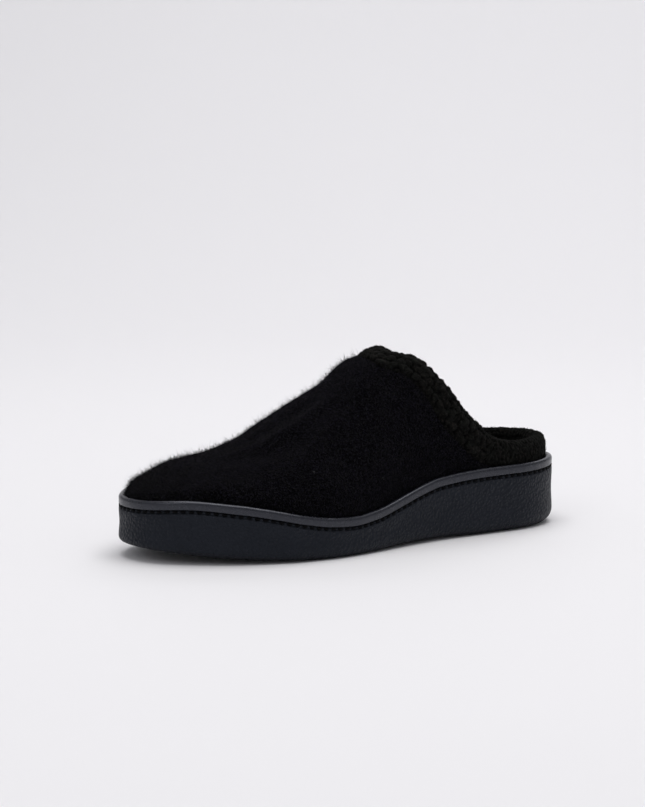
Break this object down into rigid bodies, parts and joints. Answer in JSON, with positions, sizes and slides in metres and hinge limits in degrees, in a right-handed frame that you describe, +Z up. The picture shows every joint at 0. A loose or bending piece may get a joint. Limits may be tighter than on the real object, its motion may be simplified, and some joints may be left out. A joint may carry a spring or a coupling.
{
  "type": "clog slipper",
  "caption": "Left backless felt slipper with a thick knitted collar and low heel rim on a moulded wedge sole with a smooth bead welt.",
  "frame": {"origin": "on the ground under the middle of the whole slipper's box", "axes": "the toe points along -Y, the wearer's left (the outer side of this foot) is +X, up is +Z"},
  "size_m": [0.1032, 0.268, 0.1046],
  "materials": {
    "sole": "matte moulded foam rubber with a fine pebble grain",
    "welt": "satin",
    "upper": "fuzzy boiled wool",
    "collar": "thick bumpy knit",
    "insole": "felt"
  },
  "bodies": {
    "root": {"sole": "sole", "welt": "welt", "upper": "upper", "collar": "collar", "insole": "insole"}
  },
  "joints": []
}
